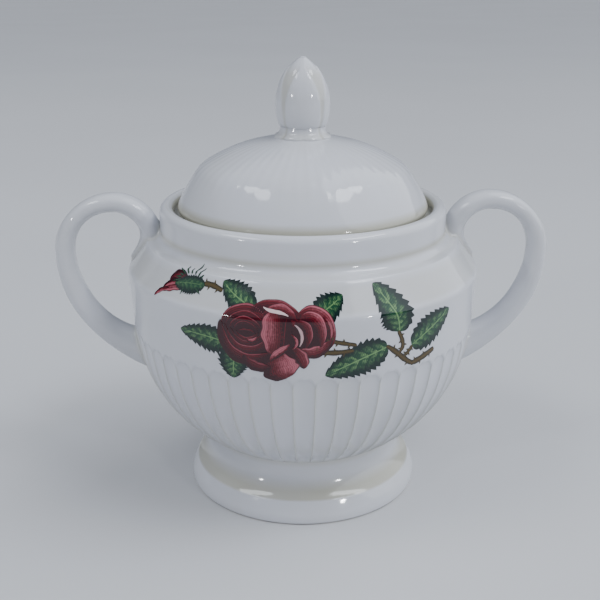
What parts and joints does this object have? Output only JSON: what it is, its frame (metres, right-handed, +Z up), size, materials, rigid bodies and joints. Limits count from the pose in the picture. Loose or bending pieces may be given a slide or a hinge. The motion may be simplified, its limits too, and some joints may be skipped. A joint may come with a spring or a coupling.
{
  "type": "sugar bowl",
  "caption": "Round covered sugar bowl on a flared foot, with a reeded lower half, loop handles on both sides and a domed lid with a bud-shaped finial.",
  "frame": {"origin": "middle of the underside of the foot, on the surface the bowl stands on", "axes": "+Z up; X runs through both handles; the decorated front faces -Y"},
  "size_m": [0.159, 0.1126, 0.1403],
  "materials": {
    "glaze_bowl": "glossy cream-white glaze over earthenware, with a rose spray printed on the front",
    "glaze_lid": "glossy cream-white glaze over earthenware"
  },
  "bodies": {
    "bowl": {"bowl_body": "glaze_bowl", "foot": "glaze_bowl", "handle_left": "glaze_bowl", "handle_right": "glaze_bowl"},
    "lid": {"lid_dome": "glaze_lid", "lid_flange": "glaze_lid", "lid_finial": "glaze_lid"}
  },
  "joints": [
    {"name": "lid_lift", "type": "slide", "parent": "bowl", "child": "lid", "axis": [0, 0, 1], "range_m": [0, 0.06]}
  ]
}
